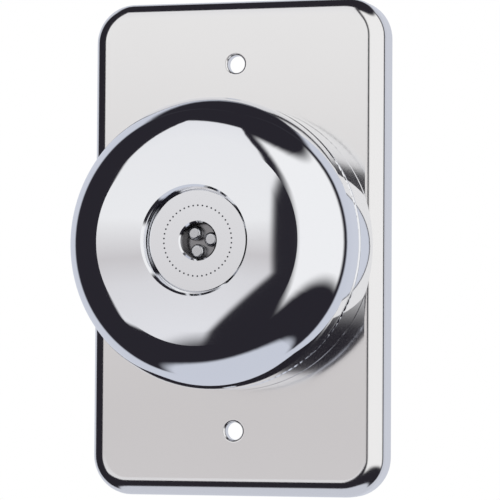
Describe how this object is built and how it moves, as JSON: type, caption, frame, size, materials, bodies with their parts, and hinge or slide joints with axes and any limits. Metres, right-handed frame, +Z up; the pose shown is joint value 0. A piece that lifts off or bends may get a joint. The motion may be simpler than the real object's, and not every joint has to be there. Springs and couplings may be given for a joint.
{
  "type": "selector key switch",
  "caption": "Flush-plate key switch with an armoured round lock head; turning the tubular key plug left or right drives a sprung changeover contact.",
  "frame": {"origin": "on the wall plane, on the lock axis", "axes": "+Z up, the front faces -Y, the mechanism reaches +Y into the wall box"},
  "size_m": [0.069, 0.0587, 0.113],
  "materials": {
    "polished_chrome": "polished chrome plate on die-cast zinc",
    "plated_brass": "turned brass, satin nickel where it shows",
    "contact_copper": "stamped copper alloy",
    "hardened_steel": "ground hardened steel",
    "spring_steel": "drawn spring wire",
    "black_acetal": "turned black acetal",
    "rubber": "moulded rubber",
    "switch_moulding": "moulded thermoset",
    "nylon": "moulded natural nylon",
    "zinc_steel": "bright zinc plated steel"
  },
  "bodies": {
    "base": {"anti_drill_pin_1": "hardened_steel", "anti_drill_pin_2": "hardened_steel", "barrel_nut": "plated_brass", "bracket_screw_1": "zinc_steel", "bracket_screw_2": "zinc_steel", "bracket_screw_3": "zinc_steel", "bracket_screw_4": "zinc_steel", "centring_spring_left": "spring_steel", "centring_spring_right": "spring_steel", "close_contact": "contact_copper", "collar": "polished_chrome", "common_contact": "contact_copper", "cover_screw_1": "zinc_steel", "cover_screw_2": "zinc_steel", "disc_dowel_1": "hardened_steel", "disc_dowel_2": "hardened_steel", "face_disc": "polished_chrome", "faceplate": "polished_chrome", "lock_barrel": "plated_brass", "lock_washer": "zinc_steel", "open_contact": "contact_copper", "slip_ring": "black_acetal", "stop_pin": "hardened_steel", "switch_base": "switch_moulding", "switch_bracket": "zinc_steel", "switch_cover": "switch_moulding", "terminal_screw_1": "zinc_steel", "terminal_screw_2": "zinc_steel", "terminal_screw_3": "zinc_steel", "thrust_washer": "hardened_steel", "wall_gasket": "rubber"},
    "dome": {"dome_shield": "polished_chrome"},
    "rotor": {"plug": "plated_brass", "pin_cap": "plated_brass", "tail_shaft": "hardened_steel", "tail_pin": "hardened_steel", "plug_clip": "hardened_steel", "pinion": "nylon", "tumbler_spring_1": "spring_steel", "tumbler_spring_2": "spring_steel", "tumbler_spring_3": "spring_steel"},
    "tumbler_1": {"tumbler_pin_1": "hardened_steel"},
    "tumbler_2": {"tumbler_pin_2": "hardened_steel"},
    "tumbler_3": {"tumbler_pin_3": "hardened_steel"},
    "slider": {"contact_slider": "nylon", "contact_bridge": "contact_copper"}
  },
  "joints": [
    {"name": "dome_spin", "type": "hinge", "parent": "base", "child": "dome", "pos_m": [0, -0.03, 0], "axis": [0, 1, 0], "continuous": true},
    {"name": "plug_turn", "type": "hinge", "parent": "base", "child": "rotor", "pos_m": [0, -0.015, 0], "axis": [0, 1, 0], "range_deg": [-45, 45], "stiffness_Nm_per_rad": 0.08},
    {"name": "slider_shift", "type": "slide", "parent": "base", "child": "slider", "axis": [1, 0, 0], "range_m": [-0.00425, 0.00425], "deforming": ["centring_spring_left", "centring_spring_right"]},
    {"name": "tumbler_1_press", "type": "slide", "parent": "rotor", "child": "tumbler_1", "axis": [0, 1, 0], "range_m": [0, 0.0022], "stiffness_N_per_m": 300, "springref_m": -0.003, "deforming": ["tumbler_spring_1"]},
    {"name": "tumbler_2_press", "type": "slide", "parent": "rotor", "child": "tumbler_2", "axis": [0, 1, 0], "range_m": [0, 0.0022], "stiffness_N_per_m": 300, "springref_m": -0.003, "deforming": ["tumbler_spring_2"]},
    {"name": "tumbler_3_press", "type": "slide", "parent": "rotor", "child": "tumbler_3", "axis": [0, 1, 0], "range_m": [0, 0.0022], "stiffness_N_per_m": 300, "springref_m": -0.003, "deforming": ["tumbler_spring_3"]}
  ],
  "couplings": [
    {"joint": "slider_shift", "follows": "plug_turn", "m_per_rad": -0.0054}
  ]
}
